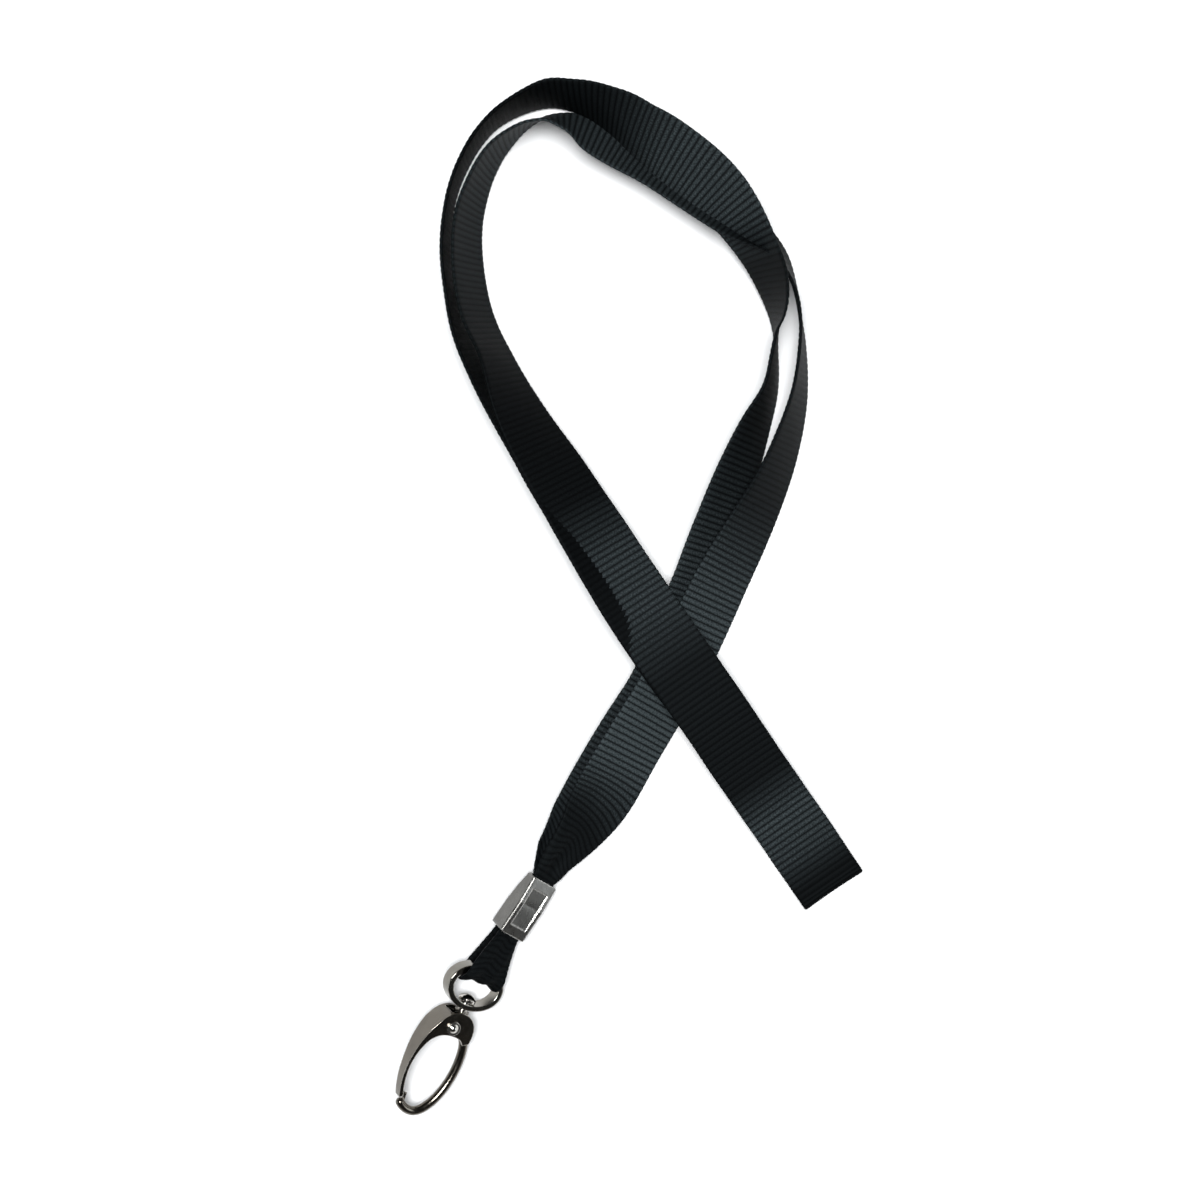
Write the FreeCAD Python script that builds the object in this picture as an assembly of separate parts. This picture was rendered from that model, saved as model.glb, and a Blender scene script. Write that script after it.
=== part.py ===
import FreeCAD, Part
import math
import os

# Ribbon lanyard lying on a table: one woven ribbon, doubled round the neck and
# clamped in a metal crimp, whose short end loop carries a swivel eye and an
# oval snap hook. Millimetres. Z = 0 is the table, +Y runs from the hook
# towards the top of the neck loop, +X to the neck fold's side.

V = FreeCAD.Vector
os.makedirs("parts", exist_ok=True)

# ---- driving dimensions ---------------------------------------------------
RIBBON_WIDTH = 16.0        # woven width of the ribbon
RIBBON_THICK = 0.85        # thickness of one layer
RIBBON_STEPS = 3           # cross-sections made for each row of the run tables

CRIMP_WIDTH = 7.2
CRIMP_LENGTH = 14.2
CRIMP_MOUTH_DEPTH = 3.2    # thickness where the neck ribbons enter
CRIMP_END_DEPTH = 5.8      # thickness where the end loop leaves
CRIMP_WALL = 0.5
CLAMP_GAP = 0.08           # half the space between ribbon layers in the crimp
CRIMP_MOUTH = V(-19.6, -64.6, 4.6)
CRIMP_HEADING = 34.6       # degrees from +Y towards +X
CRIMP_ROLL = 33.0

LOOP_WIDTH = 8.0           # gathered width of the end loop round the eye
LOOP_INNER_R = 2.8

HOOK_CENTRE = V(-35.4, -88.5, 5.5)    # centre of the swivel eye
HOOK_HEADING = 24.8
HOOK_ROLL = 30.0

EYE_WIDTH = 14.3
EYE_HEIGHT = 11.0
EYE_BAND = 1.3
EYE_DEPTH = 3.6
BAR_Y = EYE_HEIGHT / 2 - EYE_BAND / 2  # middle of the bar that the ribbon hugs

STEM_R = 1.15
STEM_CLEARANCE = 0.06
STEM_HEAD_R = 2.1

RIVET = V(-2.0, -9.9, 0)   # gate pivot, in the hook's own frame
RIVET_R = 0.9
RIVET_HEAD_R = 1.6
GATE_HALF_DEPTH = 3.2
GATE_SLOT_HALF = 2.15      # half the room between the gate's cheeks
GATE_WALL = 0.7
ROOT_HALF = 1.85           # half thickness of the hook body's root plate
ROD_R = 1.05

BASE_SHIFT = V(-0.35, 1.25, -0.02)    # puts the origin at the middle of the base

# ---- how the two runs of ribbon lie ---------------------------------------
# Each row is one cross-section, in order from the crimp to the neck fold:
# x, y, z of the edge that rests lowest, the lean of the ribbon in degrees and
# its width there. Lean is 0 flat towards the inside of the neck loop, 90 on
# edge and 180 flat towards the outside.
FRONT_RUN = [
    (-14.4, -62.2, 2.7, 31, 8.6),
    (-7.6, -55.8, 1.4, 27, 12.8),
    (-0.6, -48.6, 0.8, 28, 15.6),
    (8.0, -35.4, 0.6, 31, 16.0),
    (14.6, -24.2, 0.6, 33, 16.0),
    (20.6, -12.8, 0.6, 34, 16.0),
    (26.4, 0.0, 0.6, 38, 16.0),
    (31.6, 11.4, 0.5, 46, 16.0),
    (36.4, 23.6, 0.5, 57, 16.0),
    (39.6, 35.2, 0.5, 65, 16.0),
    (41.0, 46.0, 0.5, 73, 16.0),
    (40.6, 56.5, 0.5, 80, 16.0),
    (39.3, 65.0, 0.5, 84, 16.0),
    (38.1, 72.0, 0.5, 80, 16.0),
    (36.0, 79.0, 0.5, 70, 16.0),
    (31.4, 85.6, 0.5, 54, 16.0),
    (25.2, 91.6, 0.5, 45, 16.0),
    (17.6, 97.2, 0.5, 43, 16.0),
    (9.0, 102.6, 0.5, 44, 16.0),
    (0.6, 107.2, 0.5, 44, 16.0),
    (-6.6, 110.0, 0.5, 49, 16.0),
    (-12.9, 111.3, 0.5, 61, 16.0),
    (-18.9, 110.6, 0.5, 72, 16.0),
    (-23.5, 107.9, 0.5, 82, 16.0),
    (-27.1, 103.9, 0.5, 91, 16.0),
    (-30.0, 99.4, 0.5, 98, 16.0),
    (-32.4, 93.4, 0.5, 103, 16.0),
    (-34.0, 85.0, 0.5, 109, 16.0),
    (-33.5, 75.0, 0.5, 113, 16.0),
    (-31.0, 64.5, 0.8, 115, 16.0),
    (-26.2, 54.8, 1.6, 116, 16.0),
    (-19.4, 43.8, 3.4, 132, 16.0),
    (-10.6, 31.6, 6.4, 147, 16.0),
    (-1.4, 18.0, 9.2, 161, 16.0),
    (7.8, 4.0, 11.0, 173, 16.0),
    (16.8, -9.2, 11.2, 180, 16.0),
    (25.6, -21.8, 9.6, 180, 16.0),
    (34.6, -35.0, 6.6, 180, 16.0),
    (44.2, -48.8, 3.6, 180, 16.0),
    (53.7, -62.8, 2.2, 180, 16.0),
]
BACK_RUN = [
    (-15.4, -61.4, 1.4, 31, 9.2),
    (-9.8, -54.8, 0.7, 29, 13.4),
    (-2.8, -47.2, 0.5, 30, 15.6),
    (5.8, -34.2, 0.5, 32, 16.0),
    (12.4, -23.0, 0.5, 34, 16.0),
    (18.2, -11.6, 0.5, 36, 16.0),
    (22.6, 0.2, 0.5, 42, 16.0),
    (26.0, 11.8, 0.5, 49, 16.0),
    (29.4, 23.8, 0.5, 54, 16.0),
    (32.4, 35.6, 0.5, 63, 16.0),
    (34.2, 46.2, 0.5, 74, 16.0),
    (34.4, 55.2, 0.6, 81, 16.0),
    (33.1, 63.2, 1.0, 91, 16.0),
    (29.4, 71.2, 3.0, 109, 16.0),
    (25.0, 77.6, 5.2, 118, 16.0),
    (19.2, 83.9, 7.2, 131, 16.0),
    (12.8, 89.2, 8.6, 143, 16.0),
    (6.4, 94.4, 8.4, 143, 16.0),
    (0.8, 99.6, 6.4, 131, 16.0),
    (-4.2, 105.2, 4.0, 113, 16.0),
    (-10.6, 110.2, 2.0, 102, 16.0),
    (-17.4, 112.2, 1.0, 99, 16.0),
    (-24.4, 110.8, 0.6, 94, 16.0),
    (-31.0, 107.0, 0.5, 91, 16.0),
    (-36.4, 99.8, 0.5, 91, 16.0),
    (-40.2, 90.4, 0.5, 91, 16.0),
    (-41.3, 79.0, 0.5, 93, 16.0),
    (-40.0, 68.6, 0.5, 95, 16.0),
    (-36.4, 58.4, 0.5, 101, 16.0),
    (-29.0, 47.4, 0.5, 110, 16.0),
    (-16.6, 32.6, 1.6, 124, 16.0),
    (-4.0, 16.2, 5.6, 142, 16.0),
    (6.2, 2.6, 8.8, 160, 16.0),
    (15.8, -10.0, 9.6, 174, 16.0),
    (25.6, -21.8, 8.2, 180, 16.0),
    (34.6, -35.0, 5.0, 180, 16.0),
    (44.2, -48.8, 2.0, 180, 16.0),
    (53.7, -62.8, 0.45, 180, 16.0),
]


def save(shape, name):
    """Write one node and print its size."""
    shape.translate(BASE_SHIFT)
    if not shape.isValid():
        print("INVALID", name)
    shape.exportStep("parts/%s.step" % name)
    box = shape.BoundBox
    print("%-20s solids %d  volume %8.1f  x %.1f..%.1f y %.1f..%.1f z %.2f..%.2f" % (
        name, len(shape.Solids), shape.Volume, box.XMin, box.XMax, box.YMin, box.YMax,
        box.ZMin, box.ZMax))


# ---- frames of the hardware -----------------------------------------------
def frame(origin, heading, roll):
    """Local x right, y towards the ribbon, z out of the front face."""
    turn = FreeCAD.Rotation(V(0, 0, 1), -heading)
    tip = FreeCAD.Rotation(V(0, 1, 0), roll)
    return FreeCAD.Placement(origin, turn.multiply(tip))


CRIMP_FRAME = frame(CRIMP_MOUTH, CRIMP_HEADING, CRIMP_ROLL)
HOOK_FRAME = frame(HOOK_CENTRE, HOOK_HEADING, HOOK_ROLL)


# ---- ribbon ---------------------------------------------------------------
def blended(rows, steps):
    """More rows on a smooth curve through the given ones (Catmull-Rom)."""
    result = []
    for i in range(len(rows) - 1):
        p0, p1 = rows[max(i - 1, 0)], rows[i]
        p2, p3 = rows[i + 1], rows[min(i + 2, len(rows) - 1)]
        for k in range(steps):
            t = k / steps
            result.append([0.5 * (2 * b + (c - a) * t + (2 * a - 5 * b + 4 * c - d) * t ** 2
                                  + (3 * b - a - 3 * c + d) * t ** 3)
                           for a, b, c, d in zip(p0, p1, p2, p3)])
    return result + [list(rows[-1])]


def section_corners(rows, i):
    """Four corners of cross-section i: low and high edge, under and upper face."""
    x, y, z, lean, width = rows[i]
    before = rows[max(i - 1, 0)]
    after = rows[min(i + 1, len(rows) - 1)]
    heading = V(after[0] - before[0], after[1] - before[1], after[2] - before[2])
    if i == len(rows) - 1:
        heading.z = 0
    heading.normalize()
    inward = V(-heading.y, heading.x, 0)
    inward.normalize()
    up = heading.cross(inward)
    lean = math.radians(lean)
    across = inward * math.cos(lean) + up * math.sin(lean)
    face = across.cross(heading) * -1
    low, half = V(x, y, z), face * (RIBBON_THICK / 2)
    high = low + across * width
    return [low - half, high - half, high + half, low + half]


def clamped_corners(side, y):
    """Cross-section between the crimp's jaws: side is +1 in front, -1 behind."""
    half = CRIMP_WIDTH / 2 - CRIMP_WALL - 0.2
    levels = sorted((side * CLAMP_GAP, side * (CLAMP_GAP + RIBBON_THICK)))
    local = [V(half, y, levels[0]), V(-half, y, levels[0]),
             V(-half, y, levels[1]), V(half, y, levels[1])]
    return [CRIMP_FRAME.multVec(p) for p in local]


def ribbon_run(rows, side):
    """Closed thin solid from inside the crimp through all the cross-sections."""
    fine = blended(rows, RIBBON_STEPS)
    corners = [clamped_corners(side, -3.0), clamped_corners(side, 0.6)]
    corners += [section_corners(fine, i) for i in range(len(fine))]
    wires = [Part.makePolygon(c + c[:1]) for c in corners]
    return Part.makeLoft(wires, True, True), corners[-1]


def neck_fold(front_end, back_end):
    """The bend that joins the two runs at the neck fold."""
    upper = sorted(front_end, key=lambda p: p.z)
    lower = sorted(back_end, key=lambda p: p.z)
    outer_r = (upper[3].z - lower[0].z) / 2
    inner_r = outer_r - RIBBON_THICK
    along = upper[3] - upper[2]
    if along.Length < RIBBON_WIDTH / 2:
        raise RuntimeError("neck fold corners are out of order")
    start = upper[2]
    centre = V(start.x, start.y, lower[0].z + outer_r)
    outward = V(along.y, -along.x, 0)
    outward.normalize()
    if outward.y > 0:
        outward = outward * -1
    profile = []
    for radius in (outer_r, inner_r):
        profile.append([centre + V(0, 0, radius), centre + outward * radius,
                        centre - V(0, 0, radius)])
    outer = Part.Arc(*profile[0]).toShape()
    inner = Part.Arc(*profile[1]).toShape()
    wire = Part.Wire([outer, Part.makeLine(profile[0][2], profile[1][2]), inner,
                      Part.makeLine(profile[1][0], profile[0][0])])
    return Part.Face(wire).extrude(along)


def placed(shape, place):
    moved = shape.copy()
    moved.Placement = place.multiply(moved.Placement)
    return moved


def spline(points):
    curve = Part.BSplineCurve()
    curve.interpolate([V(x, y, 0) for x, y in points])
    return curve.toShape()


def slab(wire, low, high):
    """Solid between two heights, from a flat closed wire."""
    face = Part.Face(wire)
    face.translate(V(0, 0, low))
    return face.extrude(V(0, 0, high - low))


def side_profile(points, half_width):
    """Solid with a side outline given as (y, z), as wide as asked along x."""
    outline = [V(-half_width, y, z) for y, z in points]
    face = Part.Face(Part.makePolygon(outline + [outline[0]]))
    return face.extrude(V(2 * half_width, 0, 0))


# ---- crimp ----------------------------------------------------------------
def crimp():
    m, e, length = CRIMP_MOUTH_DEPTH / 2, CRIMP_END_DEPTH / 2, CRIMP_LENGTH

    def outline(inset, run_out):
        """Side outline: thin at the mouth, swelling on the back to full depth."""
        top, bottom = run_out, -length - run_out
        return [(top, -m + inset), (-length * 0.28, -e * 0.84 + inset),
                (-length * 0.58, -e + inset), (bottom, -e * 0.97 + inset),
                (bottom, e * 0.9 - inset), (-length * 0.45, e * 0.84 - inset),
                (top, m - inset)]

    body = side_profile(outline(0, 0), CRIMP_WIDTH / 2)
    body = body.makeFillet(0.55, [ed for ed in body.Edges
                                  if abs(ed.Vertexes[0].X) > CRIMP_WIDTH / 2 - 0.01
                                  and abs(ed.Vertexes[0].X - ed.Vertexes[-1].X) < 0.01])
    hollow = side_profile(outline(CRIMP_WALL, 1.0), CRIMP_WIDTH / 2 - CRIMP_WALL)
    body = body.cut(hollow)
    # Pressed panel in the front face, parallel with its slope.
    slope = math.atan2(e * 0.84 - m, length * 0.45)
    panel = Part.makeBox(CRIMP_WIDTH - 2.6, length * 0.66, 1.0)
    panel.translate(V(-(CRIMP_WIDTH - 2.6) / 2, -length * 0.83, 0))
    panel.rotate(V(0, 0, 0), V(1, 0, 0), -math.degrees(slope) * 0.55)
    panel.translate(V(0, 0, m + 0.02))
    body = body.cut(panel)
    # Seam of the folded sheet down the middle of the back.
    seam = Part.makeBox(0.3, length + 2, 3.0, V(-0.15, -length - 1, -e - 2.0))
    return body.cut(seam)


# ---- end loop -------------------------------------------------------------
def rectangle(place, half_x, y, z_low, z_high):
    pts = [V(-half_x, y, z_low), V(half_x, y, z_low), V(half_x, y, z_high), V(-half_x, y, z_high)]
    pts = [place.multVec(p) for p in pts]
    return Part.makePolygon(pts + [pts[0]])


def end_loop():
    """The ribbon's turn round the eye's bar, and its two legs into the crimp."""
    outer_r = LOOP_INNER_R + RIBBON_THICK
    ring = Part.makeCylinder(outer_r, LOOP_WIDTH, V(-LOOP_WIDTH / 2, BAR_Y, 0), V(1, 0, 0))
    ring = ring.cut(Part.makeCylinder(LOOP_INNER_R, LOOP_WIDTH + 2,
                                      V(-LOOP_WIDTH / 2 - 1, BAR_Y, 0), V(1, 0, 0)))
    keep = Part.makeBox(LOOP_WIDTH + 2, outer_r + 1, 2 * outer_r + 2,
                        V(-LOOP_WIDTH / 2 - 1, BAR_Y - outer_r - 1, -outer_r - 1))
    loop = placed(ring.common(keep), HOOK_FRAME)
    inside = CRIMP_LENGTH - 3.5
    clamp_half = CRIMP_WIDTH / 2 - CRIMP_WALL - 0.1
    for side in (1, -1):
        levels = sorted((side * LOOP_INNER_R, side * outer_r))
        mouth = sorted((side * 0.5, side * (0.5 + RIBBON_THICK)))
        grip = sorted((side * 0.12, side * (0.12 + RIBBON_THICK)))
        near = rectangle(HOOK_FRAME, LOOP_WIDTH / 2, BAR_Y, *levels)
        gate = rectangle(CRIMP_FRAME, clamp_half, -CRIMP_LENGTH, *mouth)
        end = rectangle(CRIMP_FRAME, clamp_half, -inside, *grip)
        loop = loop.fuse(Part.makeLoft([near, gate], True, True))
        loop = loop.fuse(Part.makeLoft([gate, end], True, True))
    return loop


# ---- swivel eye and stem --------------------------------------------------
def ellipse_wire(half_x, half_y):
    return Part.Wire([Part.Ellipse(V(0, 0, 0), half_x, half_y).toShape()])


def swivel_eye():
    outer = slab(ellipse_wire(EYE_WIDTH / 2, EYE_HEIGHT / 2), -EYE_DEPTH / 2, EYE_DEPTH / 2)
    inner = slab(ellipse_wire(EYE_WIDTH / 2 - EYE_BAND, EYE_HEIGHT / 2 - EYE_BAND),
                 -EYE_DEPTH / 2 - 1, EYE_DEPTH / 2 + 1)
    outer = outer.makeFillet(0.35, outer.Edges)
    band = outer.cut(inner)
    hole = Part.makeCylinder(STEM_R + STEM_CLEARANCE, EYE_BAND + 2,
                             V(0, -EYE_HEIGHT / 2 - 1, 0), V(0, 1, 0))
    return band.cut(hole)


def swivel_stem():
    """Headed pin: domed head inside the eye, shank down into the hook's root."""
    seat = -EYE_HEIGHT / 2 + EYE_BAND + 0.55
    head = Part.makeCylinder(STEM_HEAD_R, 0.55, V(0, seat, 0), V(0, 1, 0))
    dome = Part.makeSphere(2.6, V(0, seat + 0.55 - 1.5, 0))
    cap = Part.makeCylinder(STEM_HEAD_R, 2.0, V(0, seat + 0.55, 0), V(0, 1, 0))
    shank = Part.makeCylinder(STEM_R, seat + 7.4, V(0, -7.4, 0), V(0, 1, 0))
    return head.fuse([dome.common(cap), shank])


# ---- hook body ------------------------------------------------------------
ROD_PATH = [(1.3, -10.9), (3.7, -12.8), (4.8, -16.4), (4.9, -21.0), (3.9, -25.8),
            (2.1, -29.3), (-0.5, -31.4), (-3.2, -31.2), (-4.7, -30.3)]


def rod():
    path = Part.Wire([spline(ROD_PATH)])
    start = V(ROD_PATH[0][0], ROD_PATH[0][1], 0)
    direction = path.Edges[0].tangentAt(path.Edges[0].FirstParameter)
    ring = Part.Wire([Part.makeCircle(ROD_R, start, direction)])
    return path.makePipeShell([ring], True, True)


def hook_body():
    """Root plate round the pivot, neck up to the stem, rod, and nose."""
    root = slab(Part.Wire([Part.makeCircle(2.0, RIVET)]), -ROOT_HALF, ROOT_HALF)
    arm_points = [(-1.6, -9.0), (-0.8, -7.9), (0.7, -7.9), (1.5, -9.0), (2.1, -10.4), (2.5, -11.4),
                  (1.2, -11.6)]
    arm = slab(Part.makePolygon([V(x, y, 0) for x, y in arm_points + arm_points[:1]]),
               -ROOT_HALF, ROOT_HALF)
    collar = Part.makeCylinder(1.75, 2.6, V(0, -8.65, 0), V(0, 1, 0))
    body = root.fuse([arm, collar, rod()])
    body = body.fuse(Part.makeSphere(ROD_R, V(ROD_PATH[-1][0], ROD_PATH[-1][1], 0)))
    tongue = Part.makeCylinder(0.42, 2.2, V(-4.3, -30.0, 0), V(-0.1, 1, 0))
    body = body.fuse(tongue)
    pivot = Part.makeCylinder(RIVET_R, 10, RIVET - V(0, 0, 5), V(0, 0, 1))
    socket = Part.makeCylinder(STEM_R, 1.6, V(0, -7.4, 0), V(0, 1, 0))
    pocket = Part.makeCylinder(1.6, 1.2, RIVET - V(0, 0, 0.6), V(0, 0, 1))
    return body.cut(pivot).cut(socket).cut(pocket)


# ---- gate -----------------------------------------------------------------
GATE_OUTER = [(3.6, -12.5), (3.5, -10.2), (2.7, -7.9), (0.9, -6.4), (-2.2, -6.2), (-4.7, -7.9),
              (-6.6, -11.2), (-7.7, -15.4), (-8.0, -20.2), (-7.5, -24.8), (-6.1, -29.0)]
GATE_INNER = [(-5.35, -28.5), (-6.75, -24.4), (-7.25, -20.2), (-6.8, -16.4), (-5.6, -13.7),
              (-3.7, -12.2), (-1.1, -11.8), (1.2, -12.2), (2.3, -13.2)]


def gate_region(outer, inner):
    a, b = spline(outer), spline(inner)
    return Part.Wire([a, Part.makeLine(V(*outer[-1], 0), V(*inner[0], 0)), b,
                      Part.makeLine(V(*inner[-1], 0), V(*outer[0], 0))])


def inset_outer():
    """The gate's outer line moved in by the wall."""
    points = []
    for i, (x, y) in enumerate(GATE_OUTER):
        a = GATE_OUTER[max(i - 1, 0)]
        b = GATE_OUTER[min(i + 1, len(GATE_OUTER) - 1)]
        dx, dy = b[0] - a[0], b[1] - a[1]
        long = math.hypot(dx, dy)
        points.append((x - dy / long * GATE_WALL, y + dx / long * GATE_WALL))
    return points


def gate_lever():
    h = GATE_HALF_DEPTH
    body = slab(gate_region(GATE_OUTER, GATE_INNER), -h, h)
    taper = [(-2.0, h), (-10.5, h), (-15.5, h * 0.78), (-21, h * 0.52), (-26, h * 0.40),
             (-31, h * 0.36)]
    profile = taper + [(y, -z) for y, z in reversed(taper)]
    body = body.common(side_profile(profile, 12))
    room = inset_outer()
    inside = [V(x, y, 0) for x, y in room[2:8]]
    bottom = [V(-5.5, -20.0, 0), V(7.5, -20.0, 0), V(7.5, -8.0, 0), V(3.0, -8.0, 0)]
    hollow = slab(Part.makePolygon(inside + bottom + inside[:1]), -GATE_SLOT_HALF, GATE_SLOT_HALF)
    body = body.cut(hollow)
    # Way out for the collar at the crown, with room for the gate's travel.
    neck = Part.makeCylinder(1.75 + 0.35, 3.4, V(0, -8.6, 0), V(0, 1, 0))
    neck = neck.fuse(Part.makeBox(3.3, 3.4, 2 * 2.1, V(-3.3, -8.6, -2.1)))
    pivot = Part.makeCylinder(RIVET_R + 0.05, 10, RIVET - V(0, 0, 5), V(0, 0, 1))
    return body.cut(neck).cut(pivot)


def gate_rivet():
    """Pivot pin with a domed head and a raised centre at each end."""
    shank = Part.makeCylinder(RIVET_R, 2 * GATE_HALF_DEPTH + 0.1,
                              RIVET - V(0, 0, GATE_HALF_DEPTH + 0.05), V(0, 0, 1))
    pin = shank
    for side in (1, -1):
        base = RIVET + V(0, 0, side * (GATE_HALF_DEPTH + 0.05))
        disc = Part.makeCylinder(RIVET_HEAD_R, 0.35, base, V(0, 0, side))
        dome = Part.makeSphere(1.25, base + V(0, 0, side * -0.35))
        cap = Part.makeCylinder(1.3, 2.0, base + V(0, 0, side * 0.3), V(0, 0, side))
        pin = pin.fuse([disc, dome.common(cap)])
    return pin


def gate_spring():
    """Close-wound torsion spring on the rivet, in the root's pocket."""
    wire_r, coil_r, pitch = 0.2, 1.25, 0.36
    turns = []
    for k in (-1, 0, 1):
        turns.append(Part.makeTorus(coil_r, wire_r, RIVET + V(0, 0, k * pitch), V(0, 0, 1)))
    return turns[0].fuse(turns[1:])


front, front_end = ribbon_run(FRONT_RUN, 1)
back, back_end = ribbon_run(BACK_RUN, -1)
save(front.fuse(neck_fold(front_end, back_end)), "ribbon_front_run")
save(back, "ribbon_back_run")
save(placed(crimp(), CRIMP_FRAME), "crimp")
save(end_loop(), "ribbon_end_loop")
for make in (swivel_eye, swivel_stem, hook_body, gate_lever, gate_rivet, gate_spring):
    save(placed(make(), HOOK_FRAME), make.__name__)
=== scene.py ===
import bpy
import math
import numpy as np
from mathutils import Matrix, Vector


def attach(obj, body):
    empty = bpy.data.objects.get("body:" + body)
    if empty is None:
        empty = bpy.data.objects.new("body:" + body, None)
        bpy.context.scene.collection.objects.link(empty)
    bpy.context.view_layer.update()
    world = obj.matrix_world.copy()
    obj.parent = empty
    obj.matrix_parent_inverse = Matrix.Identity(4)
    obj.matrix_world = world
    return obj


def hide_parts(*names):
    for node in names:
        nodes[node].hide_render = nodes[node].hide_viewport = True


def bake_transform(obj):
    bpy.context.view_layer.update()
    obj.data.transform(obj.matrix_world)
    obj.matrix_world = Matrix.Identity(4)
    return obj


# A woven ribbon lanyard on a pale table, seen from straight above. The CAD frame gives the
# metal pieces; the ribbon is modelled here rib by rib. Sizes are in metres unless a name
# or a table says millimetres.

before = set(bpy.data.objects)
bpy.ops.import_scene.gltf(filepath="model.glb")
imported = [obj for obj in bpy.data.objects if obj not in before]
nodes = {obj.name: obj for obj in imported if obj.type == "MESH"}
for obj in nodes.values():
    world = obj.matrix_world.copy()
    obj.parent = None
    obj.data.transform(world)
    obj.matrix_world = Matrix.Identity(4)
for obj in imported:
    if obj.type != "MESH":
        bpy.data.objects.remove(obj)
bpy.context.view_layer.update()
MM = 0.001

# ---- ribbon sizes, in millimetres -------------------------------------------------------
THICK = 0.85                 # one layer
STRIP_LENGTH = 879.0         # about both runs and the neck fold; only scales the painted sheen patches
RIB_PITCH = 1.4
RIB_HEIGHT = 0.11
RIB_FULLNESS = 0.55          # below 1 makes the ribs round with narrow grooves between
ROWS_PER_RIB = 5
EDGE_ROUND = 0.035           # share of the width that each selvedge's rounding takes
SCALLOP = 0.05               # how far the ribs stick out at the edges
ACROSS = [0, 0.012, 0.035, 0.08, 0.17, 0.28, 0.39, 0.5]
ACROSS += [1 - t for t in reversed(ACROSS[:-1])]
FULL_WIDTH = 16.0
BASE_SHIFT = np.array([-0.35, 1.25, -0.02])
UP = np.array([0.0, 0.0, 1.0])

# ---- places of the metal pieces, in millimetres and degrees ------------------------------
CRIMP_MOUTH = np.array([-19.6, -64.6, 4.6]) + BASE_SHIFT
CRIMP_HEADING, CRIMP_ROLL = 34.6, 33.0
CRIMP_LENGTH = 14.2
CLAMPED_HALF_WIDTH = 2.9     # of the ribbon inside the crimp
CLAMPED_LEVEL = 0.51         # of each run's middle, above or below the crimp's middle
EYE_CENTRE = np.array([-35.4, -88.5, 5.5]) + BASE_SHIFT
HOOK_HEADING, HOOK_ROLL = 24.8, 30.0
BAR_Y = 4.85                 # middle of the eye's bar above the eye's centre
BAR_CURVE = 6.5              # half width of the oval that the bar's middle line follows
LOOP_R = 3.225               # from the bar's middle to the loop's middle surface
EDGE_HANG = 0.4              # how far the loop's edges follow the bar's curve
LOOP_OFFSET = 0.35           # of the front leg, to the right
LOOP_WIDTH = 9.6             # of the gathered ribbon at the bar
LOOP_CLAMPED_WIDTH = 5.9     # and inside the crimp
BACK_LEG_SHIFT = 1.0         # the hidden leg is shifted to the right and is narrower
BACK_LEG_NARROWING = 0.26

# How the two runs of ribbon lie, from the crimp to the neck fold. Each row is x, y, z of
# the edge that rests lowest, the lean in degrees (0 flat towards the inside of the neck
# loop, 90 on edge, 180 flat towards the outside) and the width.
FRONT_RUN = [
    (-13.9, -62.5, 2.7, 31, 9.2),
    (-6.3, -56.6, 1.4, 27, 13.8),
    (0.2, -49.1, 0.8, 28, 16.0),
    (8.0, -35.4, 0.6, 31, 16.0),
    (14.6, -24.2, 0.6, 33, 16.0),
    (20.6, -12.8, 0.6, 34, 16.0),
    (26.4, 0.0, 0.6, 38, 16.0),
    (31.6, 11.4, 0.5, 46, 16.0),
    (36.4, 23.6, 0.5, 57, 16.0),
    (39.6, 35.2, 0.5, 65, 16.0),
    (41.0, 46.0, 0.5, 73, 16.0),
    (40.6, 56.5, 0.5, 80, 16.0),
    (39.3, 65.0, 0.5, 84, 16.0),
    (38.1, 72.0, 0.5, 80, 16.0),
    (36.0, 79.0, 0.5, 70, 16.0),
    (31.4, 85.6, 0.5, 54, 16.0),
    (25.2, 91.6, 0.5, 45, 16.0),
    (17.6, 97.2, 0.5, 43, 16.0),
    (9.0, 102.6, 0.5, 44, 16.0),
    (0.6, 107.2, 0.5, 44, 16.0),
    (-6.6, 110.0, 0.5, 49, 16.0),
    (-12.9, 111.3, 0.5, 61, 16.0),
    (-18.9, 110.6, 0.5, 72, 16.0),
    (-23.5, 107.9, 0.5, 82, 16.0),
    (-27.1, 103.9, 0.5, 91, 16.0),
    (-30.0, 99.4, 0.5, 98, 16.0),
    (-32.4, 93.4, 0.5, 103, 16.0),
    (-34.0, 85.0, 0.5, 109, 16.0),
    (-33.5, 75.0, 0.5, 113, 16.0),
    (-31.0, 64.5, 0.8, 115, 16.0),
    (-26.2, 54.8, 1.6, 116, 16.0),
    (-19.4, 43.8, 3.4, 132, 16.0),
    (-10.6, 31.6, 6.4, 147, 16.0),
    (-1.4, 18.0, 9.2, 161, 16.0),
    (7.8, 4.0, 11.0, 173, 16.0),
    (16.8, -9.2, 11.2, 180, 16.0),
    (25.6, -21.8, 9.6, 180, 16.0),
    (34.6, -35.0, 6.6, 180, 16.0),
    (44.2, -48.8, 3.6, 180, 16.0),
    (52.9, -61.6, 2.2, 180, 16.0),
]
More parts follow.
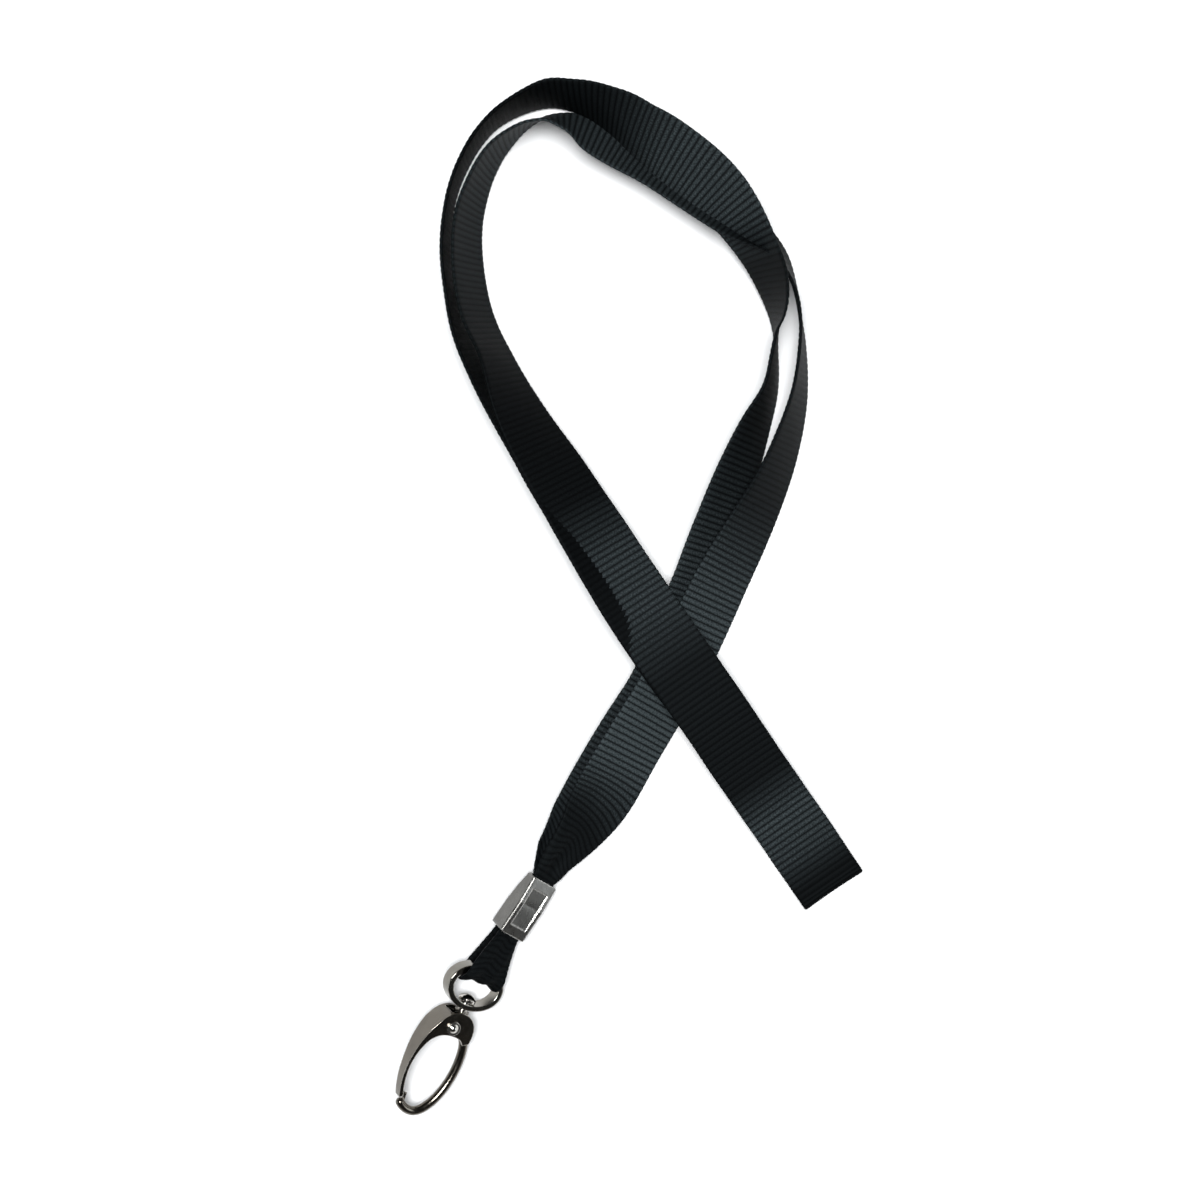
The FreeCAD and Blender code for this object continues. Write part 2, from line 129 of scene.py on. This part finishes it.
BACK_RUN = [
    (-15.4, -61.4, 1.4, 31, 9.2),
    (-9.0, -55.2, 0.7, 29, 13.0),
    (-2.3, -47.5, 0.5, 30, 15.4),
    (5.8, -34.2, 0.5, 32, 16.0),
    (12.4, -23.0, 0.5, 34, 16.0),
    (17.5, -11.4, 0.5, 33, 16.0),
    (21.7, 0.4, 0.5, 37, 16.0),
    (25.0, 12.0, 0.5, 43, 16.0),
    (28.5, 24.0, 0.5, 50, 16.0),
    (31.8, 35.7, 0.5, 60, 16.0),
    (34.2, 46.2, 0.5, 74, 16.0),
    (34.4, 55.2, 0.6, 81, 16.0),
    (33.1, 63.2, 1.0, 91, 16.0),
    (29.4, 71.2, 3.0, 107, 16.0),
    (25.0, 77.6, 5.2, 115, 16.0),
    (19.2, 83.9, 7.2, 127, 16.0),
    (12.8, 89.2, 8.6, 137, 16.0),
    (6.4, 94.4, 8.4, 136, 16.0),
    (0.8, 99.6, 6.4, 126, 16.0),
    (-4.2, 105.2, 4.0, 113, 16.0),
    (-10.6, 110.2, 2.0, 102, 16.0),
    (-17.4, 112.2, 1.0, 99, 16.0),
    (-24.4, 110.8, 0.6, 94, 16.0),
    (-31.0, 107.0, 0.5, 91, 16.0),
    (-36.4, 99.8, 0.5, 91, 16.0),
    (-40.2, 90.4, 0.5, 91, 16.0),
    (-41.3, 79.0, 0.5, 93, 16.0),
    (-40.0, 68.6, 0.5, 95, 16.0),
    (-36.4, 58.4, 0.5, 101, 16.0),
    (-29.0, 47.4, 0.5, 110, 16.0),
    (-16.6, 32.6, 1.6, 124, 16.0),
    (-3.6, 16.5, 5.6, 139, 16.0),
    (7.2, 3.5, 8.8, 161, 16.0),
    (16.6, -9.4, 9.6, 175, 16.0),
    (25.6, -21.8, 8.2, 180, 16.0),
    (34.6, -35.0, 5.0, 180, 16.0),
    (44.2, -48.8, 2.0, 180, 16.0),
    (52.9, -61.6, 0.45, 180, 16.0),
]


# ---- frames and small helpers -------------------------------------------------------------
def unit(v):
    return v / np.linalg.norm(v, axis=-1, keepdims=True)


def axes(heading, roll):
    """Local x right, y towards the ribbon and z out of the front face, as rows."""
    h, r = math.radians(heading), math.radians(roll)
    right = np.array([math.cos(h) * math.cos(r), -math.sin(h) * math.cos(r), -math.sin(r)])
    along = np.array([math.sin(h), math.cos(h), 0.0])
    return np.array([right, along, np.cross(right, along)])


CRIMP_AXES = axes(CRIMP_HEADING, CRIMP_ROLL)
HOOK_AXES = axes(HOOK_HEADING, HOOK_ROLL)


def in_crimp(x, y, z):
    return CRIMP_MOUTH + np.array([x, y, z]) @ CRIMP_AXES


def in_hook(x, y, z):
    return EYE_CENTRE + np.array([x, y, z]) @ HOOK_AXES


def ease(x):
    x = np.clip(x, 0.0, 1.0)
    return x * x * (3 - 2 * x)


def blended(rows, steps):
    """More rows on a smooth curve through the given ones (Catmull-Rom)."""
    r = np.array(rows, float)
    parts = []
    for i in range(len(r) - 1):
        p0, p1, p2, p3 = r[max(i - 1, 0)], r[i], r[i + 1], r[min(i + 2, len(r) - 1)]
        t = np.arange(steps)[:, None] / steps
        parts.append(0.5 * (2 * p1 + (p2 - p0) * t + (2 * p0 - 5 * p1 + 4 * p2 - p3) * t ** 2
                            + (3 * p1 - p0 - 3 * p2 + p3) * t ** 3))
    return np.vstack(parts + [r[-1:]])


# A strip is four arrays over its stations: low edge, direction across, face normal, width.
def run_strip(rows, side):
    """One run of ribbon, from inside the crimp to the start of the neck fold."""
    fine = blended(rows, 8)
    low = fine[:, :3] + BASE_SHIFT
    heading = np.gradient(low, axis=0)
    heading[-1, 2] = 0
    heading = unit(heading)
    inward = unit(np.stack([-heading[:, 1], heading[:, 0], np.zeros(len(fine))], 1))
    up = np.cross(heading, inward)
    lean = np.radians(fine[:, 3])[:, None]
    across = inward * np.cos(lean) + up * np.sin(lean)
    face = np.cross(heading, across)
    level = side * CLAMPED_LEVEL
    starts = np.array([in_crimp(CLAMPED_HALF_WIDTH, y, level) for y in (-5.0, -2.5, 0.2)])
    low = np.vstack([starts, low])
    across = np.vstack([np.repeat([-CRIMP_AXES[0]], 3, 0), across])
    face = np.vstack([np.repeat([CRIMP_AXES[2]], 3, 0), face])
    width = np.concatenate([[2 * CLAMPED_HALF_WIDTH] * 3, fine[:, 4]])
    return low, across, face, width


def fold_strip(front, back):
    """The bend between the two runs, as stations on a half circle."""
    low_f, low_b = front[0][-1], back[0][-1]
    heading = unit(np.cross(front[1][-1], UP))
    if heading @ (front[0][-1] - front[0][-5]) < 0:
        heading = -heading
    centre, radius = (low_f + low_b) / 2, (low_f[2] - low_b[2]) / 2
    turn = np.linspace(0, math.pi, 13)[1:-1]
    normal = np.outer(np.sin(turn), heading) + np.outer(np.cos(turn), UP)
    loose = 1.25    # the bend reaches a little past a true half circle
    low = centre + radius * (loose * np.outer(np.sin(turn), heading) + np.outer(np.cos(turn), UP))
    across = np.repeat(front[1][-1:], len(turn), 0)
    return low, across, unit(normal), np.full(len(turn), FULL_WIDTH)


def joined(*strips):
    return tuple(np.concatenate([s[k] for s in strips]) for k in range(4))


def turned_back(strip):
    """The same strip run the other way, with its other face out."""
    low, across, face, width = (a[::-1] for a in strip)
    return low, across, -face, width


def even_stations(strip, step):
    """Stations at equal distances along the strip's middle."""
    low, across, face, width = strip
    middle = low + across * width[:, None] / 2
    gaps = np.linalg.norm(np.diff(middle, axis=0), axis=1)
    s = np.concatenate([[0], np.cumsum(gaps)])
    count = int(round(s[-1] / step))
    at = np.arange(count + 1) * step
    at[-1] = min(at[-1], s[-1])

    def pick(a):
        return np.stack([np.interp(at, s, a[:, k]) for k in range(3)], 1)

    return (pick(low), unit(pick(across)), unit(pick(face)), np.interp(at, s, width)), at


def strip_mesh(name, strip, bend, lag):
    """Closed ribbed ribbon. bend lifts it off its plane and lag shifts the ribs along it.

    Both take the distance along in mm, the place across from 0 to 1 and the width in mm.
    """
    step = RIB_PITCH / ROWS_PER_RIB
    (low, across, face, width), s = even_stations(strip, step)
    t = np.array(ACROSS + ACROSS[-2:0:-1])
    side = np.array([1.0] * len(ACROSS) + [-1.0] * (len(ACROSS) - 2))
    side[0] = side[len(ACROSS) - 1] = 0
    grid_s, grid_t = np.meshgrid(s, t, indexing="ij")
    moved = np.clip(grid_s + lag(grid_s, grid_t, width[:, None]), s[0], s[-1])

    def at(values):
        flat = np.interp(moved.ravel(), s, values)
        return flat.reshape(moved.shape)

    def vectors(values):
        return np.stack([at(values[:, k]) for k in range(3)], -1)

    wide = at(width)
    rib = np.abs(np.sin(math.pi * grid_s / RIB_PITCH)) ** RIB_FULLNESS
    uneven = 1 + 0.16 * np.sin(grid_s * 0.71 + 1.3) * np.sin(grid_s * 0.173 + 9 * grid_t)
    edge = np.clip(np.minimum(grid_t, 1 - grid_t) / EDGE_ROUND, 0, 1)
    half = (THICK / 2 - RIB_HEIGHT + RIB_HEIGHT * rib * uneven) * np.sqrt(edge * (2 - edge))
    scallop = SCALLOP * (rib - 0.6) * np.where(grid_t < 0.5, -1, 1) * (edge < 0.4)
    sway = 0.05 * np.sin(grid_s * 0.11 + 2) + 0.03 * np.sin(grid_s * 0.37)
    lift = bend(grid_s, grid_t, wide) + side * half
    points = (vectors(low) + vectors(across) * (wide * grid_t + scallop + sway)[..., None]
              + vectors(face) * lift[..., None])
    rows, cols = grid_s.shape
    index = np.arange(rows * cols).reshape(rows, cols)
    a, b = index[:-1, :], index[1:, :]
    quads = np.stack([a, np.roll(a, -1, 1), np.roll(b, -1, 1), b], -1).reshape(-1, 4)
    faces = quads.tolist() + [index[0, ::-1].tolist(), index[-1].tolist()]
    mesh = bpy.data.meshes.new(name)
    mesh.from_pydata((points.reshape(-1, 3) * MM).tolist(), [], faces)
    mesh.polygons.foreach_set("use_smooth", [True] * len(faces))
    uv = mesh.uv_layers.new(name="weave")
    loops = np.zeros(len(mesh.loops), np.int32)
    mesh.loops.foreach_get("vertex_index", loops)
    flat = np.stack([grid_s.ravel(), (grid_t * FULL_WIDTH).ravel()], 1)
    uv.data.foreach_set("uv", flat[loops].ravel())
    mesh.update()
    mesh.validate()
    obj = bpy.data.objects.new(name, mesh)
    bpy.context.scene.collection.objects.link(obj)
    return obj, s[-1] * MM


# ---- ribbon pieces ------------------------------------------------------------------------
def neck_ribbon():
    front, back = run_strip(FRONT_RUN, 1), run_strip(BACK_RUN, -1)
    strip = joined(front, fold_strip(front, back), turned_back(back))
    total = even_stations(strip, 1.0)[1][-1]
    dimple_s, dimple_t = 27.0, 0.62

    def bend(s, t, width):
        near = np.minimum(s, total - s)
        squeeze = ease((FULL_WIDTH - width) / 8.5)
        ripple = squeeze * 0.55 * np.sin(2 * math.pi * (1.5 * t + 0.1)) * ease((near - 5) / 4)
        dimple = np.exp(-((s - dimple_s) / 3.6) ** 2 - ((t - dimple_t) / 0.16) ** 2)
        cup = 0.30 * (2 * np.abs(t - 0.5)) ** 2 * np.sin(s * 0.045)
        return ripple - 1.1 * dimple + cup * ease((near - 30) / 30)

    def lag(s, t, width):
        near = np.minimum(s, total - s)
        squeeze = ease((FULL_WIDTH - width) / 6) * ease((near - 6) / 5)
        drawn = squeeze * 1.2 * np.cos(2 * math.pi * (t - 0.5))
        by_dimple = np.exp(-((s - dimple_s) / 6.0) ** 2) * (s < total / 2)
        return drawn + 1.3 * by_dimple * (0.5 - 4 * (t - dimple_t) ** 2)

    obj, length = strip_mesh("neck_ribbon", strip, bend, lag)
    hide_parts("ribbon_front_run", "ribbon_back_run")
    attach(obj, "strap")
    return obj


def end_loop():
    """The gathered turn round the eye's bar; its legs run up into the crimp."""
    stations, behind = [], []
    clamped = ((-8.5, 0.5), (-11.5, 0.62), (-CRIMP_LENGTH, 1.0))
    for y, z in clamped:
        stations.append((in_crimp(0, y, z), CRIMP_AXES[0], CRIMP_AXES[2], LOOP_CLAMPED_WIDTH))
    for angle in range(0, 91, 10):
        a = math.radians(angle)
        point = in_hook(LOOP_OFFSET, BAR_Y - LOOP_R * math.sin(a), LOOP_R * math.cos(a))
        normal = np.array([0, -math.sin(a), math.cos(a)]) @ HOOK_AXES
        stations.append((point, HOOK_AXES[0], normal, LOOP_WIDTH + 0.6 * math.sin(a)))
    for k, (point, across, normal, width) in enumerate(reversed(stations[:-1])):
        by_bar = k < len(stations) - 1 - len(clamped)
        frame_axes, origin = (HOOK_AXES, EYE_CENTRE) if by_bar else (CRIMP_AXES, CRIMP_MOUTH)
        gathered = float(ease(k / 6)) if by_bar else 0.0
        local = frame_axes @ (point - origin) * np.array([1, 1, -1])
        local[0] += BACK_LEG_SHIFT * gathered
        mirrored = frame_axes @ normal * np.array([1, 1, -1])
        behind.append((origin + local @ frame_axes, across, mirrored @ frame_axes,
                       width * (1 - BACK_LEG_NARROWING * gathered)))
    table = np.array([np.concatenate([p, a, n, [w]]) for p, a, n, w in stations + behind])
    fine = blended(table, 6)
    across, face, width = unit(fine[:, 3:6]), unit(fine[:, 6:9]), fine[:, 9]
    low = fine[:, :3] - across * width[:, None] / 2
    middle = low + across * width[:, None] / 2
    total = np.linalg.norm(np.diff(middle, axis=0), axis=1).sum()
    free = 4.0    # length at each end that the crimp keeps flat

    def bend(s, t, width):
        ripple = 0.26 * np.sin(2 * math.pi * (2.3 * t + 0.05 * s))
        return ripple * ease((s - free) / 4) * ease((total - free - s) / 4)

    def lag(s, t, width):
        return 0.35 * np.sin(2 * math.pi * (1.4 * t + 0.3)) + 0.2 * np.sin(9 * t + s)

    obj, length = strip_mesh("end_loop_ribbon", (low, across, face, width), bend, lag)
    # The ribbon follows the oval bar in part, so its edges hang back from the middle.
    down, fade = -HOOK_AXES[1], 8.0
    for v in obj.data.vertices:
        p = np.array(v.co) / MM
        local = HOOK_AXES @ (p - EYE_CENTRE)
        x = min(abs(local[0]), BAR_CURVE * 0.93)
        drop = BAR_Y - BAR_Y * math.sqrt(1 - (x / BAR_CURVE) ** 2)
        weight = float(ease((BAR_Y + fade - local[1]) / fade))
        v.co = Vector((p + down * drop * weight * EDGE_HANG) * MM)
    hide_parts("ribbon_end_loop")
    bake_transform(obj)
    return obj


# ---- materials ------------------------------------------------------------------------------
# Where a painted sheen lightens the ribbon in patches, standing in for highlights: distance along
# the strip from the crimp, in millimetres, and how much, from 0 to 1.
SHEEN = [(0, 0.10), (22, 0.10), (38, 0.85), (55, 1.0), (84, 0.7), (104, 0.15), (165, 0.08),
         (182, 0.4), (222, 0.6), (246, 0.35), (268, 0.22), (288, 0.05), (326, 0.06), (341, 0.55),
         (356, 0.5), (371, 0.08), (402, 0.08), (412, 0.65), (422, 0.5), (428, 0.04),
         (560, 0.05), (600, 0.12), (640, 0.06), (668, 0.15), (684, 0.6), (706, 0.7), (718, 0.08),
         (756, 0.2), (790, 0.6), (850, 0.4), (870, 0.1)]
# The end loop gets one low, even level of painted sheen.
LOOP_SHEEN = [(0, 0.08), (STRIP_LENGTH, 0.08)]


def new_material(name):
    mat = bpy.data.materials.new(name)
    mat.use_nodes = True
    tree = mat.node_tree
    return mat, tree, tree.nodes["Principled BSDF"]


def node(tree, kind, **settings):
    made = tree.nodes.new(kind)
    for key, value in settings.items():
        if key in made.inputs:
            made.inputs[key].default_value = value
        else:
            setattr(made, key, value)
    return made


def ramp(tree, source, stops):
    made = tree.nodes.new("ShaderNodeValToRGB")
    for k, (place, colour) in enumerate(stops):
        element = made.color_ramp.elements[k] if k < 2 else made.color_ramp.elements.new(place)
        element.position = place
        element.color = (*colour, 1)
    tree.links.new(source, made.inputs["Fac"])
    return made.outputs["Color"]


def maths(tree, operation, a, b=None):
    made = tree.nodes.new("ShaderNodeMath")
    made.operation = operation
    for k, value in enumerate((a, b)):
        if value is None:
            continue
        if isinstance(value, (int, float)):
            made.inputs[k].default_value = value
        else:
            tree.links.new(value, made.inputs[k])
    return made.outputs[0]


def ribbon_material(name, sheen):
    """Black polyester weave: ribs across, fine threads along, with painted sheen patches and
    painted highlights on the rib crests.
    """
    mat, tree, shader = new_material(name)
    uv = node(tree, "ShaderNodeUVMap", uv_map="weave")
    split = tree.nodes.new("ShaderNodeSeparateXYZ")
    tree.links.new(uv.outputs["UV"], split.inputs[0])
    phase = maths(tree, "MULTIPLY", split.outputs["X"], math.pi / RIB_PITCH)
    rib = maths(tree, "ABSOLUTE", maths(tree, "SINE", phase))
    threads_turn = maths(tree, "MULTIPLY", split.outputs["Y"], 11.0)
    thread = maths(tree, "ABSOLUTE", maths(tree, "SINE", threads_turn))
    speckle = node(tree, "ShaderNodeTexNoise", Scale=2.6, Detail=4.0, Roughness=0.6)
    tree.links.new(uv.outputs["UV"], speckle.inputs["Vector"])
    # The sheen patches, the speckle streaks and the rib crests lighten the base colour: painted
    # highlights.
    along = maths(tree, "MULTIPLY", split.outputs["X"], 1 / STRIP_LENGTH)
    painted_sheen_patch = ramp(tree, along, [(s / STRIP_LENGTH, (level,) * 3) for s, level in sheen])
    streak = maths(tree, "MULTIPLY", maths(tree, "POWER", speckle.outputs["Fac"], 1.8), 3.6)
    crest_highlight = maths(tree, "POWER", rib, 0.8)
    shine = maths(tree, "MULTIPLY", maths(tree, "MULTIPLY", painted_sheen_patch, streak), crest_highlight)
    # black is the ribbon's own colour; grey and pale are painted sheen tones.
    black, grey, pale = (0.0016, 0.0017, 0.0019), (0.0135, 0.0168, 0.0182), (0.048, 0.060, 0.064)
    colour = ramp(tree, shine, [(0.0, black), (0.35, grey), (1.0, pale)])
    tree.links.new(colour, shader.inputs["Base Color"])
    rough = ramp(tree, speckle.outputs["Fac"], [(0.3, (0.48,) * 3), (0.7, (0.60,) * 3)])
    tree.links.new(rough, shader.inputs["Roughness"])
    height = maths(tree, "ADD", maths(tree, "MULTIPLY", thread, 0.5),
                   maths(tree, "MULTIPLY", speckle.outputs["Fac"], 0.5))
    bump = node(tree, "ShaderNodeBump", Strength=0.35, Distance=0.00006)
    tree.links.new(height, bump.inputs["Height"])
    tree.links.new(bump.outputs["Normal"], shader.inputs["Normal"])
    shader.inputs["Specular IOR Level"].default_value = 0.025
    shader.inputs["Specular Tint"].default_value = (0.80, 0.95, 1.0, 1)
    return mat


def metal_material(name, bright, dull, roughness, scratch, edge_radius, edge_highlight_colour=None):
    """Plated metal: mottled tint, fine polishing marks and rounded edges.

    The rim colour, where given, is a lighter colour painted along the edges: a painted highlight.
    """
    mat, tree, shader = new_material(name)
    where = tree.nodes.new("ShaderNodeTexCoord")
    cloud = node(tree, "ShaderNodeTexNoise", Scale=260.0, Detail=3.0, Roughness=0.55)
    tree.links.new(where.outputs["Object"], cloud.inputs["Vector"])
    colour = ramp(tree, cloud.outputs["Fac"], [(0.30, dull), (0.70, bright)])
    edge = node(tree, "ShaderNodeBevel", Radius=edge_radius)
    edge.samples = 6
    if edge_highlight_colour:
        # Painted highlight: the colour turns lighter where the rounded edges bend away from the
        # flat faces.
        flat = tree.nodes.new("ShaderNodeNewGeometry")
        turn = tree.nodes.new("ShaderNodeVectorMath")
        turn.operation = "DOT_PRODUCT"
        tree.links.new(edge.outputs["Normal"], turn.inputs[0])
        tree.links.new(flat.outputs["Normal"], turn.inputs[1])
        edge_highlight_mask = ramp(tree, turn.outputs["Value"], [(0.90, (1, 1, 1)), (0.995, (0, 0, 0))])
        blend = node(tree, "ShaderNodeMix", data_type="RGBA")
        factor, first, second, result = (blend.inputs[0], blend.inputs[6], blend.inputs[7],
                                         blend.outputs[2])    # the sockets of a colour mix
        tree.links.new(edge_highlight_mask, factor)
        tree.links.new(colour, first)
        second.default_value = (*edge_highlight_colour, 1)
        colour = result
    tree.links.new(colour, shader.inputs["Base Color"])
    marks = node(tree, "ShaderNodeTexNoise", Scale=1400.0, Detail=2.0, Roughness=0.5)
    squash = node(tree, "ShaderNodeMapping")
    squash.inputs["Scale"].default_value = (1.0, 0.25, 1.0)
    squash.inputs["Rotation"].default_value = (0, 0, math.radians(-HOOK_HEADING))
    tree.links.new(where.outputs["Object"], squash.inputs["Vector"])
    tree.links.new(squash.outputs["Vector"], marks.inputs["Vector"])
    smooth, scratched = (roughness,) * 3, (roughness + scratch,) * 3
    rough = ramp(tree, marks.outputs["Fac"], [(0.35, smooth), (0.75, scratched)])
    tree.links.new(rough, shader.inputs["Roughness"])
    bump = node(tree, "ShaderNodeBump", Strength=0.05, Distance=0.00001)
    tree.links.new(marks.outputs["Fac"], bump.inputs["Height"])
    tree.links.new(edge.outputs["Normal"], bump.inputs["Normal"])
    tree.links.new(bump.outputs["Normal"], shader.inputs["Normal"])
    shader.inputs["Metallic"].default_value = 1.0
    return mat


def dress(name, material):
    """Give one CAD node its material."""
    mesh = nodes[name].data
    mesh.materials.clear()
    mesh.materials.append(material)


# ---- stage, light and camera -----------------------------------------------------------------
def floor():
    """A white table top, 6 m across, at the height where the lanyard rests."""
    mesh = bpy.data.meshes.new("floor")
    half = 3.0
    mesh.from_pydata([(-half, -half, 0), (half, -half, 0), (half, half, 0), (-half, half, 0)], [],
                     [(0, 1, 2, 3)])
    obj = bpy.data.objects.new("floor", mesh)
    bpy.context.scene.collection.objects.link(obj)
    mat, _, shader = new_material("pale_table")
    shader.inputs["Base Color"].default_value = (0.90, 0.90, 0.90, 1)
    shader.inputs["Roughness"].default_value = 0.9
    shader.inputs["Specular IOR Level"].default_value = 0.1
    mesh.materials.append(mat)


def soft_light(name, place, size, power, colour):
    """A rectangular lamp that faces the middle of the table; its power is in watts."""
    data = bpy.data.lights.new(name, "AREA")
    data.shape = "RECTANGLE"
    data.size, data.size_y = size
    data.energy = power
    data.color = colour
    obj = bpy.data.objects.new(name, data)
    obj.location = place
    obj.rotation_euler = (-Vector(place)).to_track_quat("-Z", "Y").to_euler()
    bpy.context.scene.collection.objects.link(obj)


def studio():
    """Bright walls round a darker ceiling, with soft lamps above."""
    world = bpy.data.worlds.new("studio")
    bpy.context.scene.world = world
    world.use_nodes = True
    tree = world.node_tree
    background = tree.nodes["Background"]
    where = tree.nodes.new("ShaderNodeTexCoord")
    split = tree.nodes.new("ShaderNodeSeparateXYZ")
    tree.links.new(where.outputs["Generated"], split.inputs[0])
    wall, upper_wall = (0.34, 0.33, 0.31), (0.26, 0.25, 0.24)
    cornice, ceiling = (0.05, 0.05, 0.05), (0.03, 0.03, 0.03)
    colour = ramp(tree, split.outputs["Z"],
                  [(0.0, wall), (0.22, upper_wall), (0.40, cornice), (0.9, ceiling)])
    tree.links.new(colour, background.inputs["Color"])
    background.inputs["Strength"].default_value = 1.0
    window = (0.5, 0.22)
    soft_light("overhead", (-0.04, 0.04, 1.0), (0.36, 0.36), 13.5, (0.98, 0.99, 1.0))
    soft_light("west_window", (-0.75, -0.20, 0.28), window, 1.0, (0.86, 0.95, 1.0))
    soft_light("east_window", (0.75, -0.27, 0.33), window, 1.0, (0.90, 0.96, 1.0))


def camera():
    """Straight above the table; the frame is 276 mm across at table height."""
    height, span, sensor = 0.480, 0.27624, 36.0
    data = bpy.data.cameras.new("camera")
    data.sensor_width = sensor
    data.lens = sensor * height / span
    data.clip_start = 0.01
    obj = bpy.data.objects.new("camera", data)
    obj.location = (-0.00691, 0.00056, height)
    bpy.context.scene.collection.objects.link(obj)
    bpy.context.scene.camera = obj


neck_ribbon().data.materials.append(ribbon_material("black_ribbon", SHEEN))
end_loop().data.materials.append(ribbon_material("loop_ribbon", LOOP_SHEEN))

# The rim colours of the first three metals are painted edge highlights.
plated = metal_material("dark_nickel", (0.155, 0.140, 0.118), (0.120, 0.108, 0.092), 0.14, 0.06,
                        0.00024, edge_highlight_colour=(0.62, 0.58, 0.52))
ring = metal_material("ring_plate", (0.24, 0.225, 0.20), (0.17, 0.16, 0.14), 0.10, 0.06,
                      0.00030, edge_highlight_colour=(0.70, 0.68, 0.63))
bright = metal_material("bright_plate", (0.170, 0.166, 0.157), (0.135, 0.132, 0.125), 0.26, 0.07,
                        0.00045, edge_highlight_colour=(0.72, 0.71, 0.68))
pins = metal_material("rivet_metal", (0.66, 0.64, 0.60), (0.50, 0.48, 0.45), 0.10, 0.08, 0.00015)
steel = metal_material("spring_steel", (0.50, 0.50, 0.51), (0.36, 0.36, 0.37), 0.25, 0.15, 0.00005)
for name in ("hook_body", "gate_lever"):
    dress(name, plated)
dress("swivel_eye", ring)
dress("crimp", bright)
dress("swivel_stem", pins)
dress("gate_rivet", pins)
dress("gate_spring", steel)

floor()
studio()
camera()
bpy.context.scene.view_settings.view_transform = "Standard"
